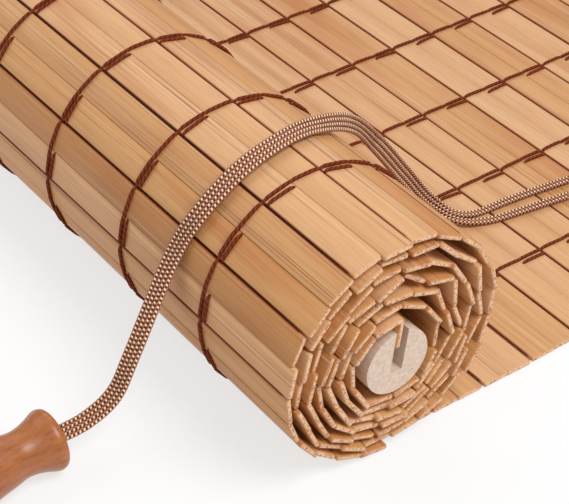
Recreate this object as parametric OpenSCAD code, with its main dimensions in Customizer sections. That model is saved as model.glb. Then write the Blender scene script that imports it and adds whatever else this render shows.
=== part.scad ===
// Bamboo roll-up blind, lying on a table and partly rolled up.
// X runs along the slats, Y from the roll to the head rail, Z up from the table.
// Lengths are in millimetres. The origin is under the middle of the head rail.

/* [Mat] */
// length of the slats
width = 450; // [300:10:600]
// distance from slat to slat along the mat
pitch = 9; // [8:0.25:10]
// thickness of a slat
slat_t = 1.5; // [1.3:0.05:1.7]
// bevel on the slat edges at a tight joint
tight_bevel = 0.35; // [0.2:0.05:0.5]
// bevel on the slat edges at an open joint
open_bevel = 0.5; // [0.4:0.05:0.55]
// most that a slat end in the flat part stands back from the full width
flat_stagger = 0.9; // [0:0.1:2]
// most that a slat end in the roll stands back from the full width
roll_stagger = 1.4; // [0:0.2:3]
// number of slats lying flat, with those in the head rail
flat_slat_count = 32; // [26:2:40]

/* [Roll] */
// outside radius of the roll
roll_r = 35; // [34.9:0.1:37]
// radial distance from turn to turn
turn_gap = 3.3; // [3.2:0.05:3.3]
// how far the outer turn stands off on its way down to the mat
slack = 2; // [0:0.25:2.25]
// how far the middle of the roll has sunk at its innermost turn
sink = 4; // [3:0.25:4.5]
// how far the innermost turn has moved toward the rail
lean = 0.5; // [0:0.25:2]
// number of slats in the spiral
roll_slat_count = 107; // [100:1:107]
// most that a slat inside the roll tilts out of the spiral
slat_tilt = 4; // [0:0.5:4.5]
// how far the roll has crept sideways toward the cord's end
creep = 2.6; // [0:0.2:4]

/* [Stitching] */
// distance between stitch lines
stitch_step = 38; // [36:0.5:40]
// width of one thread
thread_w = 1.2; // [1:0.1:1.5]
// height of a thread over the slat
thread_h = 0.6; // [0.4:0.1:0.8]
// distance between the two threads of a double stitch
double_step = 1.9; // [1.7:0.1:2.6]

/* [Bottom rod] */
// radius of the bottom rod
rod_r = 10; // [9:0.25:10.5]
// width of the slot in the rod
slot_w = 4; // [3:0.25:5]
// depth of the slot in the rod
slot_depth = 13; // [12:0.5:14]

/* [Head rail] */
// thickness of the strip under the mat
strip_t = 4; // [3:0.5:6]
// width of the strip under the mat
strip_w = 20; // [18:1:22]
// thickness of the batten over the mat
batten_t = 10; // [8:0.5:14]
// width of the batten over the mat
batten_w = 24; // [23:0.5:28]
// number of screws through the batten
screw_count = 5; // [3:1:7]
// radius of a batten screw
screw_r = 1.5; // [1.25:0.05:1.75]
// radius of a batten screw's head
screw_head_r = 3; // [2.8:0.1:3.4]

/* [Hangers] */
// free space between the cord guide and the hanger beside it
hanger_clear = 16.8; // [5:0.2:50]
// radius of a hanger hole
hanger_hole_r = 3.5; // [3:0.25:4]
// thickness of a hanger plate
hanger_t = 1.5; // [1:0.25:2]
// width of a hanger plate
hanger_w = 16; // [14:1:20]

/* [Cord guide] */
// distance of the guide from the end of the rail
guide_inset = 45; // [40:1:60]
// inside width of the guide
guide_w = 10; // [9:0.5:12]
// thickness of the guide's sheet
guide_t = 1.2; // [1:0.1:1.5]
// radius of the guide's roller
roller_r = 4; // [3.5:0.25:4.5]
// radius of the roller's pin
guide_pin_r = 1.5; // [1.25:0.05:1.75]

/* [Cord and pull] */
// radius of one strand
cord_r = 0.64; // [0.58:0.02:0.66]
// distance between neighbouring strands
strand_step = 1.55; // [1.5:0.05:1.7]
// radius of the pull's flange
pull_flange_r = 8.6; // [8:0.2:9]
// radius of the pull's neck
pull_neck_r = 6.4; // [6:0.2:6.8]
// length of the pull
pull_len = 46; // [40:1:55]
// radius of the hole along the pull
pull_bore_r = 3.6; // [3.4:0.1:4]

/* [Hidden] */
$fn = 48;

tiny = 0.01;
fit = 0.05;
overlap = 0.1;
joint_gap = 0.15;
rod_drop = 1.4;
half = slat_t / 2;
rail_slats = 3;
ramp_slats = 9;
flat_len = flat_slat_count * pitch;
roll_y = -(flat_len - rail_slats * pitch / 2);
rail_y0 = roll_y + (flat_slat_count - rail_slats) * pitch;
ramp_y0 = rail_y0 - ramp_slats * pitch;

// height of the mat's middle surface above the table
function mat_z(y) = half + (y <= ramp_y0 ? 0
    : y >= rail_y0 ? strip_t
    : strip_t * (1 - cos(180 * (y - ramp_y0) / (rail_y0 - ramp_y0))) / 2);
flat_ys = [for (i = [0 : flat_slat_count]) roll_y + joint_gap + i * pitch];
flat_points = [for (y = flat_ys) [y, mat_z(y)]];

// spiral of the rolled part, from the table inward
start_r = roll_r - half;
turn_sum = 6.5 * 360;
function spiral_r(a) = start_r - turn_gap * a / 360 - (a > 180 && a < 360 ? slack * sin(a) : 0);
function spiral_point(a) = [
    roll_y + lean * a / turn_sum - spiral_r(a) * sin(a),
    roll_r - sink * a / turn_sum - spiral_r(a) * cos(a)];
function step_angle(a) = 2 * asin(pitch / 2 / (spiral_r(a) - turn_gap * pitch / 800));
roll_angles = [for (i = 0, a = 0; i <= roll_slat_count; i = i + 1, a = a + step_angle(a)) a];
roll_points = [for (a = roll_angles) spiral_point(a)];
outer_count = len([for (a = roll_angles) if (a < 350) a]);

// how far each slat end stands back: a slow wave in the flat part, unlike neighbours in the roll
flat_wave = 41;
roll_wave = 137;
function stand_back(i, side, most, wave) = most * (1 + sin(i * wave + side * 71)) / 2;
function tilt(i) = i < outer_count ? 0 : slat_tilt * sin(i * 97);
function is_open(i) = i % 2 == 0;

rod_y = roll_y + lean;
rod_z = roll_r - sink - rod_drop;
tail_top = roll_points[roll_slat_count];
tail_way = [rod_y, rod_z] - tail_top;
tail_end = tail_top + pitch * tail_way / norm(tail_way);
slot_turn = atan2(tail_way[0], -tail_way[1]);
// the last slat lies against one wall of the slot
rod_at = [rod_y, rod_z] + (slot_w / 2 - half - fit) * [-tail_way[1], tail_way[0]] / norm(tail_way);

margin = (width - stitch_step * floor((width - 60) / stitch_step)) / 2;
stitch_xs = [for (x = [-width / 2 + margin : stitch_step : width / 2 - margin + tiny]) x];

mat_top = strip_t + slat_t;
batten_top = mat_top + batten_t;
guide_x = width / 2 - guide_inset;
guide_len = 13;
guide_ear = 9;
guide_z = batten_top + guide_t;
roller_z = guide_z + 2 * cord_r + 0.3 + roller_r;
cheek_r = roller_r + 0.5;
screw_xs = [for (i = [0 : screw_count - 1]) -width / 2 + 25 + i * (width - 50) / (screw_count - 1)];
screw_depth = 2;
hanger_x = guide_x - guide_w / 2 - guide_t - guide_ear - hanger_clear - hanger_w / 2;
hanger_hole_y = batten_w / 2 + 7;
hanger_screw_ys = [-6, 6];
guide_screw_xs = [for (s = [-1, 1]) guide_x + s * (guide_w / 2 + guide_t + guide_ear / 2)];
small_screw_r = 1.1;
small_head_r = 2.2;
small_head_h = 1.2;
small_depth = 6;
// slot behind the guide, through which the strands go into the rail
cord_slot_y = guide_len / 2 + 0.1;
cord_slot = [8, 3.6, 8];

// profile of one slat with its middle at the origin, bevelled on both faces
module slat_profile(left_bevel, right_bevel, w) {
    h = w / 2;
    polygon([[-h, -half + left_bevel], [-h + left_bevel, -half], [h - right_bevel, -half],
        [h, -half + right_bevel], [h, half - right_bevel], [h - right_bevel, half],
        [-h + left_bevel, half], [-h, half - left_bevel]]);
}

// one slat lying between two points of the mat's middle line
module slat(p, q, i, left_bevel, right_bevel, most, wave, shift = 0, lean = 0) {
    back0 = stand_back(i, 0, most, wave);
    back1 = stand_back(i, 1, most, wave);
    a = atan2(q[1] - p[1], q[0] - p[0]);
    w = norm(q - p) + overlap;
    translate([-width / 2 + back0 + shift, (p[0] + q[0]) / 2, (p[1] + q[1]) / 2])
        rotate([a + lean, 0, 0])
            rotate([90, 0, 90])
                linear_extrude(width - back0 - back1)
                    slat_profile(left_bevel, right_bevel, w);
}

module flat_slats() {
    color([0.84, 0.67, 0.48])
        difference() {
            union()
                for (i = [0 : flat_slat_count - 1])
                    slat(flat_points[i], flat_points[i + 1], i,
                        is_open(i) ? open_bevel : tight_bevel,
                        is_open(i) ? tight_bevel : open_bevel, flat_stagger, flat_wave);
            for (x = screw_xs)
                translate([x, 0, 0])
                    cylinder(r = screw_r + fit, h = batten_top);
        }
}

module rolled_slats() {
    color([0.82, 0.63, 0.43])
        union() {
            for (i = [0 : roll_slat_count - 1])
                slat(roll_points[i + 1], roll_points[i], i + 1,
                    is_open(i) ? tight_bevel : open_bevel,
                    is_open(i) ? open_bevel : tight_bevel, roll_stagger, roll_wave, creep, tilt(i));
            slat(tail_end, tail_top, 2, tight_bevel, tight_bevel, roll_stagger, roll_wave, creep);
        }
}

// strip along the mat's length, with a stitch line's width
module thread_strip(x, profile) {
    translate([x - thread_w / 2, 0, 0])
        rotate([90, 0, 90])
            linear_extrude(thread_w)
                polygon(profile);
}

// the stitching follows the mat's upper face from the roll to the rail
function upper(y) = mat_z(y) + half;
flat_run_ys = [for (i = [1 : flat_slat_count - rail_slats - 1]) flat_ys[i]];

module flat_stitches() {
    color([0.35, 0.14, 0.08])
        for (x = stitch_xs)
            thread_strip(x, concat(
                [for (y = flat_run_ys) [y, upper(y)]],
                [for (i = [len(flat_run_ys) - 1 : -1 : 0]) [flat_run_ys[i], upper(flat_run_ys[i]) + thread_h]]));
}

module flat_double_stitches() {
    color([0.35, 0.14, 0.08])
        for (x = stitch_xs)
            for (i = [1 : 2 : flat_slat_count - rail_slats - ramp_slats - 1])
                translate([x + double_step - thread_w / 2, flat_ys[i] + 0.12 * pitch, slat_t])
                    cube([thread_w, pitch * 0.76, thread_h]);
}

// outward point over a slat of the outer turn, at a fraction of its width
function over_slat(i, part, height) =
    let (p = roll_points[i], q = roll_points[i + 1], d = (q - p) / norm(q - p))
    p + (q - p) * part + [-d[1], d[0]] * (half + height);
function edge_part(j) = ((is_open(j) ? open_bevel : tight_bevel) - overlap / 2) / pitch;
roll_run = [for (i = [2 : outer_count - 2]) for (part = [edge_part(i), 1 - edge_part(i + 1)]) [i, part]];

module roll_stitches() {
    color([0.35, 0.14, 0.08])
        for (x = stitch_xs)
            thread_strip(x, concat(
                [for (s = roll_run) over_slat(s[0], s[1], 0)],
                [for (k = [len(roll_run) - 1 : -1 : 0]) over_slat(roll_run[k][0], roll_run[k][1], thread_h)]));
}

module roll_double_stitches() {
    color([0.35, 0.14, 0.08])
        for (x = stitch_xs)
            for (i = [2 : 2 : outer_count - 2])
                thread_strip(x + double_step, [
                    over_slat(i, 0.1, 0), over_slat(i, 0.9, 0),
                    over_slat(i, 0.9, thread_h), over_slat(i, 0.1, thread_h)]);
}

module bottom_rod() {
    color([0.9, 0.84, 0.75])
        translate([-width / 2 + 1 + creep, rod_at[0], rod_at[1]])
            rotate([90, 0, 90])
                linear_extrude(width - 2)
                    difference() {
                        circle(rod_r);
                        rotate(slot_turn)
                            translate([-slot_w / 2, rod_r - slot_depth])
                                square([slot_w, slot_depth + rod_r]);
                    }
}

module rail_strip() {
    color([0.72, 0.5, 0.3])
        difference() {
            translate([-width / 2, -strip_w / 2, 0])
                cube([width, strip_w, strip_t]);
            for (x = screw_xs)
                translate([x, 0, strip_t - screw_depth])
                    cylinder(r = screw_r + fit, h = strip_t);
        }
}

// pilot hole for a small wood screw, from the batten's top
module pilot(x, y) {
    translate([x, y, batten_top - small_depth])
        cylinder(r = small_screw_r, h = small_depth + 1);
}

module rail_batten() {
    bevel = 1.5;
    color([0.72, 0.5, 0.3])
        difference() {
            translate([-width / 2, 0, mat_top])
                rotate([90, 0, 90])
                    linear_extrude(width)
                        polygon([[-batten_w / 2, 0], [batten_w / 2, 0], [batten_w / 2, batten_t - bevel],
                            [batten_w / 2 - bevel, batten_t], [-batten_w / 2 + bevel, batten_t],
                            [-batten_w / 2, batten_t - bevel]]);
            for (x = screw_xs) {
                translate([x, 0, mat_top - 1])
                    cylinder(r = screw_r + fit, h = batten_t + 2);
                translate([x, 0, batten_top - (screw_head_r - screw_r)])
                    cylinder(r1 = screw_r + fit, r2 = screw_head_r + fit, h = screw_head_r - screw_r + tiny);
            }
            for (s = [-1, 1])
                for (y = hanger_screw_ys)
                    pilot(s * hanger_x, y);
            for (x = guide_screw_xs)
                pilot(x, 0);
            translate([guide_x - cord_slot[0] / 2, cord_slot_y, batten_top - cord_slot[2]])
                cube(cord_slot + [0, 0, 1]);
        }
}

module batten_screws() {
    head_h = screw_head_r - screw_r;
    color([0.75, 0.68, 0.45])
        for (x = screw_xs)
            translate([x, 0, strip_t - screw_depth])
                difference() {
                    union() {
                        cylinder(r = screw_r, h = batten_top - strip_t + screw_depth - head_h + tiny);
                        translate([0, 0, batten_top - strip_t + screw_depth - head_h])
                            cylinder(r1 = screw_r, r2 = screw_head_r, h = head_h);
                    }
                    translate([-screw_head_r, -0.4, batten_top - strip_t + screw_depth - 0.7])
                        cube([2 * screw_head_r, 0.8, 2]);
                }
}

// small round-headed screw standing on a sheet of the given thickness
module small_screw(sheet) {
    translate([0, 0, -small_depth])
        cylinder(r = small_screw_r - fit, h = small_depth + sheet + tiny);
    translate([0, 0, sheet])
        difference() {
            cylinder(r1 = small_head_r, r2 = small_head_r * 0.7, h = small_head_h);
            translate([-small_head_r, -0.3, small_head_h - 0.5])
                cube([2 * small_head_r, 0.6, 1]);
        }
}

// steel plate on the batten, its hole standing out past the far edge
module hanger(x) {
    color([0.72, 0.72, 0.7])
        translate([x, 0, batten_top])
            linear_extrude(hanger_t)
                difference() {
                    union() {
                        translate([-hanger_w / 2, -batten_w / 2 + 2])
                            square([hanger_w, batten_w / 2 - 2 + hanger_hole_y]);
                        translate([0, hanger_hole_y])
                            circle(hanger_w / 2);
                    }
                    translate([0, hanger_hole_y])
                        circle(hanger_hole_r);
                    for (y = hanger_screw_ys)
                        translate([0, y])
                            circle(small_screw_r);
                }
}

module left_hanger() {
    hanger(-hanger_x);
}

module right_hanger() {
    hanger(hanger_x);
}

module hanger_screws() {
    color([0.75, 0.75, 0.73])
        for (s = [-1, 1])
            for (y = hanger_screw_ys)
                translate([s * hanger_x, y, batten_top])
                    small_screw(hanger_t);
}

module guide_bracket() {
    outer_w = guide_w + 2 * guide_t;
    color([0.75, 0.75, 0.72])
        difference() {
            union() {
                translate([guide_x - outer_w / 2 - guide_ear, -guide_len / 2, batten_top])
                    cube([outer_w + 2 * guide_ear, guide_len, guide_t]);
                for (s = [-1, 1])
                    translate([guide_x + s * (guide_w + guide_t) / 2 - guide_t / 2, 0, batten_top])
                        rotate([90, 0, 90])
                            linear_extrude(guide_t)
                                union() {
                                    translate([-cheek_r, 0])
                                        square([2 * cheek_r, roller_z - batten_top]);
                                    translate([0, roller_z - batten_top])
                                        circle(cheek_r);
                                }
            }
            translate([guide_x - outer_w, 0, roller_z])
                rotate([0, 90, 0])
                    cylinder(r = guide_pin_r + fit / 2, h = 2 * outer_w);
            for (x = guide_screw_xs)
                translate([x, 0, batten_top - 1])
                    cylinder(r = small_screw_r, h = guide_t + 2);
        }
}

// grooved roller that turns on the pin
module guide_roller() {
    w = guide_w - 0.6;
    lip = 0.8;
    color([0.93, 0.92, 0.88])
        translate([guide_x - w / 2, 0, roller_z])
            rotate([0, 90, 0])
                rotate_extrude()
                    polygon([[guide_pin_r + fit, 0], [roller_r, 0], [roller_r, lip], [roller_r - 0.6, 2 * lip],
                        [roller_r - 0.6, w - 2 * lip], [roller_r, w - lip], [roller_r, w], [guide_pin_r + fit, w]]);
}

module guide_pin() {
    outer_w = guide_w + 2 * guide_t;
    color([0.7, 0.7, 0.68])
        translate([guide_x - outer_w / 2 - 0.8, 0, roller_z])
            rotate([0, 90, 0]) {
                cylinder(r = guide_pin_r, h = outer_w + 1.6);
                translate([0, 0, -0.4])
                    cylinder(r = guide_pin_r + 0.8, h = 1.2 - fit);
                translate([0, 0, outer_w + 0.8 + fit])
                    cylinder(r = guide_pin_r + 0.8, h = 1.2 - fit);
            }
}

module guide_screws() {
    color([0.75, 0.75, 0.73])
        for (x = guide_screw_xs)
            translate([x, 0, batten_top])
                small_screw(guide_t);
}

// the pull lies on the table in front of the roll
pull_at = [width / 2 - 44.9, roll_y - 73.5, pull_flange_r];
pull_turn = 182;

module pull() {
    waist = pull_len * 0.22;
    color([0.66, 0.4, 0.22])
        translate(pull_at)
            rotate([0, 0, pull_turn])
                rotate([-90, 0, 0])
                    rotate_extrude()
                        polygon([[pull_bore_r, 0], [pull_flange_r - 1.7, 0], [pull_flange_r - 0.5, 0.5],
                            [pull_flange_r, 1.7], [pull_flange_r - 0.2, 3], [pull_flange_r - 1.1, 5.2],
                            [pull_neck_r + 0.3, waist - 2.2], [pull_neck_r, waist], [pull_neck_r + 0.1, waist + 2],
                            [pull_neck_r + 0.6, waist + 4.4], [pull_flange_r - 0.9, pull_len * 0.41],
                            [pull_flange_r - 0.2, pull_len * 0.5], [pull_flange_r, pull_len * 0.6],
                            [pull_flange_r - 0.1, pull_len * 0.74], [pull_flange_r - 0.7, pull_len * 0.86],
                            [pull_flange_r - 1.8, pull_len * 0.95], [pull_flange_r - 3.4, pull_len],
                            [pull_bore_r, pull_len]]);
}

// route of the strands from the pull over the roll and along the mat, measured from the visible
// end of the roll and its axis: [x, y, z, spread of the two pairs, turn of the bundle on edge]
drape_gap = 1.2;
function draped(x, a, turn = 0) =
    let (b = 270 - a, r = spiral_r(b) + half + cord_r + drape_gap)
    [x, lean * b / turn_sum + r * cos(a), roll_r - sink * b / turn_sum + r * sin(a), 0, turn];
over_mat = slat_t + thread_h + cord_r + 0.1;
rail_front = -roll_y - batten_w / 2;
route = [
    [-44.6, -82, pull_flange_r, 0, 0],
    [-44.9, -73, pull_flange_r, 0, 0],
    [-44.2, -64, 10, 0, 0],
    [-43.2, -56, 15.5, 0, 0],
    [-44, -49.5, 25.5, 0, 0],
    draped(-48.5, 160),
    draped(-46.8, 137),
    draped(-46.9, 112),
    draped(-48.8, 88),
    draped(-52, 66, 12),
    [-57.5, 32, 58, 0, 40],
    [-65, 48.5, 40, 0, 70],
    [-68.2, 63, 21, 0, 75],
    [-66, 73, 7.5, 0, 55],
    [-58, 82, over_mat, 0.6, 0],
    [-54, 105, over_mat, 1.8, 0],
    [-45, 180, over_mat, 2, 0],
    [-45, rail_front - 22, over_mat + strip_t, 0.4, 0],
    [-45, rail_front - 1, guide_z + cord_r + 0.1, 0, 0],
    [-45, -roll_y + cord_slot_y + 0.3, guide_z + cord_r + 0.1, 0, 0],
    [-45, -roll_y + cord_slot_y + 2.2, batten_top - 5, 0, 0]];
sides = 8;
inward = [0, -0.8, -0.6];
function lane(k) = (k - 2.5) * strand_step;
function unit(v) = v / norm(v);
function middle(i) = [route[i][0], route[i][1], route[i][2]];
function across(i) =
    let (d = unit(middle(min(i + 1, len(route) - 1)) - middle(max(i - 1, 0))),
        a = cos(route[i][4]) * [1, 0, 0] + sin(route[i][4]) * inward)
    unit(a - (a * d) * d);
function strand_point(k, i) =
    [width / 2 + route[i][0] + (k > 2 ? 1 : -1) * route[i][3], roll_y + route[i][1], route[i][2]]
    + lane(k) * across(i);
function ring(k, i) =
    let (a = strand_point(k, max(i - 1, 0)), b = strand_point(k, min(i + 1, len(route) - 1)),
        d = unit(b - a), u = unit(cross(d, [0, 0, 1])), v = cross(u, d), c = strand_point(k, i))
    [for (s = [0 : sides - 1]) c + cord_r * (cos(360 * s / sides) * u + sin(360 * s / sides) * v)];

module strand(k) {
    n = len(route);
    points = [for (i = [0 : n - 1]) each ring(k, i)];
    walls = [for (i = [0 : n - 2]) for (s = [0 : sides - 1])
        [i * sides + s, i * sides + (s + 1) % sides, (i + 1) * sides + (s + 1) % sides, (i + 1) * sides + s]];
    caps = [[for (s = [sides - 1 : -1 : 0]) s], [for (s = [0 : sides - 1]) (n - 1) * sides + s]];
    color([0.85, 0.75, 0.63])
        polyhedron(points, concat(walls, caps), convexity = 6);
}

module strand_1() {
    strand(1);
}

module strand_2() {
    strand(2);
}

module strand_3() {
    strand(3);
}

module strand_4() {
    strand(4);
}

flat_slats();
rolled_slats();
flat_stitches();
flat_double_stitches();
roll_stitches();
roll_double_stitches();
bottom_rod();
rail_strip();
rail_batten();
batten_screws();
left_hanger();
right_hanger();
hanger_screws();
guide_bracket();
guide_roller();
guide_pin();
guide_screws();
pull();
strand_1();
strand_2();
strand_3();
strand_4();
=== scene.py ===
# %% [markdown]
# # A bamboo roll up blind
#
# This lesson dresses a finished CAD model of a bamboo blind so that it looks like a photograph of the
# real one. The CAD part gives the exact places. Blender adds what the eye looks for: single slats with
# rounded ends and their own grain, twisted threads, braided cord and a turned, polished pull.
#
# Run the cells from top to bottom. Each one prints what it made.

# %% [markdown]
# ## 1. Load the CAD frame
#
# Every CAD node arrives as an object at the origin with its place in its vertices, so nothing has to be
# moved.

# %% Load the frame
import math
import random

import bmesh
import bpy
from mathutils import Matrix, Vector


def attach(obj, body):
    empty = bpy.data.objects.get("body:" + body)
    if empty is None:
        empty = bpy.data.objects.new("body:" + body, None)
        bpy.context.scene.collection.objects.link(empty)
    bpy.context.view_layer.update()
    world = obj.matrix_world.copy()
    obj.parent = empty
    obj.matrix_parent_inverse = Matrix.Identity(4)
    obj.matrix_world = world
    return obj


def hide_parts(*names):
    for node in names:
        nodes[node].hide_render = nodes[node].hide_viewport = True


MM = 0.001
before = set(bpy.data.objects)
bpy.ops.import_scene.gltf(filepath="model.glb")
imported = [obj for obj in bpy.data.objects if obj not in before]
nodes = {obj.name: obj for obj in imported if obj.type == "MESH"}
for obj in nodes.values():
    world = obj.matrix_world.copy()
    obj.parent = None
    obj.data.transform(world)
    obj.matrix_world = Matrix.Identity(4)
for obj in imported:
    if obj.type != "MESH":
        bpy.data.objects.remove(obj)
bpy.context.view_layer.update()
scene = bpy.context.scene

# %% [markdown]
# ## 2. The sizes of the blind
#
# These are the sizes that the CAD source uses, in metres. X runs along the slats, Y from the roll to the
# head rail, and Z up from the table. The mat is a strip of 32 slats that lie flat, three of them clamped
# in the head rail, and a spiral of 107 slats around the bottom rod.

# %% Sizes of the mat and the roll
WIDTH = 450 * MM
PITCH = 9 * MM
SLAT_T = 1.5 * MM
HALF = SLAT_T / 2
FLAT_COUNT = 32
RAIL_SLATS = 3
RAMP_SLATS = 9
ROLL_COUNT = 107
ROLL_R = 35 * MM
TURN_GAP = 3.3 * MM
TURNS = 6.5
SINK = 4 * MM
LEAN = 0.5 * MM
SLACK = 2 * MM
CREEP = 2.6 * MM
ROD_DROP = 1.4 * MM
STRIP_T = 4 * MM
BATTEN_T = 10 * MM
BATTEN_W = 24 * MM
ROLL_Y = -(FLAT_COUNT - RAIL_SLATS / 2) * PITCH
RAIL_Y0 = ROLL_Y + (FLAT_COUNT - RAIL_SLATS) * PITCH
RAMP_Y0 = RAIL_Y0 - RAMP_SLATS * PITCH
print("roll axis in mm at y =", round(ROLL_Y / MM, 1))

# %% [markdown]
# ## 3. The camera
#
# The camera stands where the photographer's did: high, in front of the roll and to its right. A long
# lens keeps the slats nearly parallel. A Track To constraint would aim it too, but it can't tip the
# camera sideways. So its three axes are worked out from an azimuth, an elevation and a small roll, and
# become the columns of its matrix.

# %% Camera
CAM_AT = Vector((WIDTH / 2 + 0.2477, ROLL_Y - 0.2244, 0.3292))
CAM_AZIMUTH = math.radians(52.49)
CAM_ELEVATION = math.radians(38.5)
CAM_ROLL = math.radians(1.31)
FOCAL_PX = 1750
PHOTO_PX = 569
SENSOR = 36

back = Vector((
    math.sin(CAM_AZIMUTH) * math.cos(CAM_ELEVATION),
    -math.cos(CAM_AZIMUTH) * math.cos(CAM_ELEVATION),
    math.sin(CAM_ELEVATION),
))
level = back.cross(Vector((0, 0, -1))).normalized()
upright = back.cross(level)
right = math.cos(CAM_ROLL) * level + math.sin(CAM_ROLL) * upright
up = math.cos(CAM_ROLL) * upright - math.sin(CAM_ROLL) * level
camera_data = bpy.data.cameras.new("camera")
camera_data.sensor_width = SENSOR
camera_data.lens = SENSOR * FOCAL_PX / PHOTO_PX
camera_data.clip_start = 0.01
camera_data.clip_end = 20
camera = bpy.data.objects.new("camera", camera_data)
scene.collection.objects.link(camera)
camera.matrix_world = Matrix((
    (right.x, up.x, back.x, CAM_AT.x),
    (right.y, up.y, back.y, CAM_AT.y),
    (right.z, up.z, back.z, CAM_AT.z),
    (0, 0, 0, 1),
))
scene.camera = camera
print("camera lens:", round(camera_data.lens, 1), "mm")

# %% [markdown]
# ## 4. Paths, tubes and finished objects
#
# The thread and the cord are long round things that bend. A curve with a bevel depth would draw them
# quickly, but it gives no control over the pattern on its skin. Here a ring of points is carried along
# the path and turned as little as possible from one point to the next, so that the tube doesn't twist.
# Each corner gets a UV: U is the distance along the path in metres, and V runs once round the tube.


# %% Soft curves
def smooth(points, steps):
    """Points on a soft curve through the given ones (Catmull-Rom)."""
    made = []
    for i in range(len(points) - 1):
        a = points[max(i - 1, 0)]
        b, c = points[i], points[i + 1]
        d = points[min(i + 2, len(points) - 1)]
        for s in range(steps):
            t = s / steps
            made.append(0.5 * (2 * b + (c - a) * t + (2 * a - 5 * b + 4 * c - d) * t * t
                               + (3 * b - a - 3 * c + d) * t ** 3))
    return made + [points[-1]]


def length_of(points):
    return sum((b - a).length for a, b in zip(points, points[1:]))


three = [Vector((k, 0, 0)) for k in range(3)]
print("points on a curve through 3 points, in 4 steps each:", len(smooth(three, 4)))


# %% Tubes and objects
def add_tube(bm, points, radius, sides):
    """Adds a closed tube along the points to bm, with UVs."""
    uv = bm.loops.layers.uv.verify()
    side = Vector((1, 0, 0))
    turns = [2 * math.pi * s / sides for s in range(sides)]
    rings, along = [], [0.0]
    for i, p in enumerate(points):
        way = (points[min(i + 1, len(points) - 1)] - points[max(i - 1, 0)]).normalized()
        side = (side - way * side.dot(way)).normalized()
        other = way.cross(side)
        spokes = [math.cos(a) * side + math.sin(a) * other for a in turns]
        rings.append([bm.verts.new(p + radius * spoke) for spoke in spokes])
        if i:
            along.append(along[-1] + (p - points[i - 1]).length)
    for i in range(len(rings) - 1):
        for s in range(sides):
            n = (s + 1) % sides
            f = bm.faces.new((rings[i][s], rings[i][n], rings[i + 1][n], rings[i + 1][s]))
            f.smooth = True
            corners = ((i, s), (i, s + 1), (i + 1, s + 1), (i + 1, s))
            for loop, (k, v) in zip(f.loops, corners):
                loop[uv].uv = (along[k], v / sides)
    bm.faces.new(list(reversed(rings[0])))
    bm.faces.new(rings[-1])


def to_object(bm, name, material):
    """Makes an object of bm, with its faces turned outward."""
    bmesh.ops.recalc_face_normals(bm, faces=bm.faces[:])
    mesh = bpy.data.meshes.new(name)
    bm.to_mesh(mesh)
    bm.free()
    mesh.materials.append(material)
    obj = bpy.data.objects.new(name, mesh)
    scene.collection.objects.link(obj)
    return obj


def dress(obj, cad_name):
    """Lets obj ride on the blind in the place of a CAD node."""
    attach(obj, "blind")
    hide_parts(cad_name)


print("helpers: add_tube, to_object, dress")

# %% [markdown]
# ## 5. Short words for shader nodes
#
# A material is a tree of nodes. Building it by hand in the editor is fine for one, but the ten materials
# here share the same few moves. So each move gets a short function: `node` adds a node and sets its
# sockets, `link` joins two sockets, `ramp` turns a number into a colour, and `srgb` takes a colour as a
# paint program shows it.


# %% Node helpers
def node(tree, kind, **sockets):
    made = tree.nodes.new(kind)
    for key, value in sockets.items():
        made.inputs[key.replace("_", " ")].default_value = value
    return made


def link(tree, a, b):
    tree.links.new(a, b)


def new_material(name, roughness, specular=0.4):
    material = bpy.data.materials.new(name)
    material.use_nodes = True
    bsdf = material.node_tree.nodes["Principled BSDF"]
    bsdf.inputs["Roughness"].default_value = roughness
    bsdf.inputs["Specular IOR Level"].default_value = specular
    return material, material.node_tree, bsdf


def srgb(r, g, b):
    """The linear colour of a colour picked as 0 to 255."""
    def one(v):
        v /= 255
        return v / 12.92 if v <= 0.04045 else ((v + 0.055) / 1.055) ** 2.4
    return one(r), one(g), one(b)


WHITE = (1, 1, 1)
print("white is", srgb(255, 255, 255))


# %% Ramps, sums and mixes
def ramp(tree, value, stops):
    """A colour for each value, between the given stops."""
    made = tree.nodes.new("ShaderNodeValToRGB")
    elements = made.color_ramp.elements
    while len(elements) < len(stops):
        elements.new(0.5)
    for element, (at, colour) in zip(elements, stops):
        element.position = at
        element.color = (*colour, 1)
    link(tree, value, made.inputs[0])
    return made.outputs[0]


def put(tree, socket, value):
    """Links a socket, or sets it to a plain number or colour."""
    if isinstance(value, bpy.types.NodeSocket):
        link(tree, value, socket)
    elif isinstance(value, float):
        socket.default_value = value
    else:
        socket.default_value = (*value, 1)


def maths(tree, operation, a, b=0.0):
    made = tree.nodes.new("ShaderNodeMath")
    made.operation = operation
    put(tree, made.inputs[0], a)
    put(tree, made.inputs[1], b)
    return made.outputs[0]


def mix_colour(tree, kind, factor, a, b):
    made = tree.nodes.new("ShaderNodeMix")
    made.data_type = "RGBA"
    made.blend_type = kind
    put(tree, made.inputs[0], factor)
    put(tree, made.inputs[6], a)
    put(tree, made.inputs[7], b)
    return made.outputs[2]


def between(tree, value, low, high):
    """Stretches the middle of a noise, 0.3 to 0.7, over low to high."""
    made = node(tree, "ShaderNodeMapRange")
    for socket, number in zip(made.inputs[1:5], (0.3, 0.7, low, high)):
        socket.default_value = number
    link(tree, value, made.inputs[0])
    return made.outputs[0]


def bump(tree, bsdf, height, strength, distance):
    made = node(tree, "ShaderNodeBump", Strength=strength, Distance=distance)
    link(tree, height, made.inputs["Height"])
    link(tree, made.outputs[0], bsdf.inputs["Normal"])


print("helpers: ramp, maths, mix_colour, between, bump")

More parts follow.
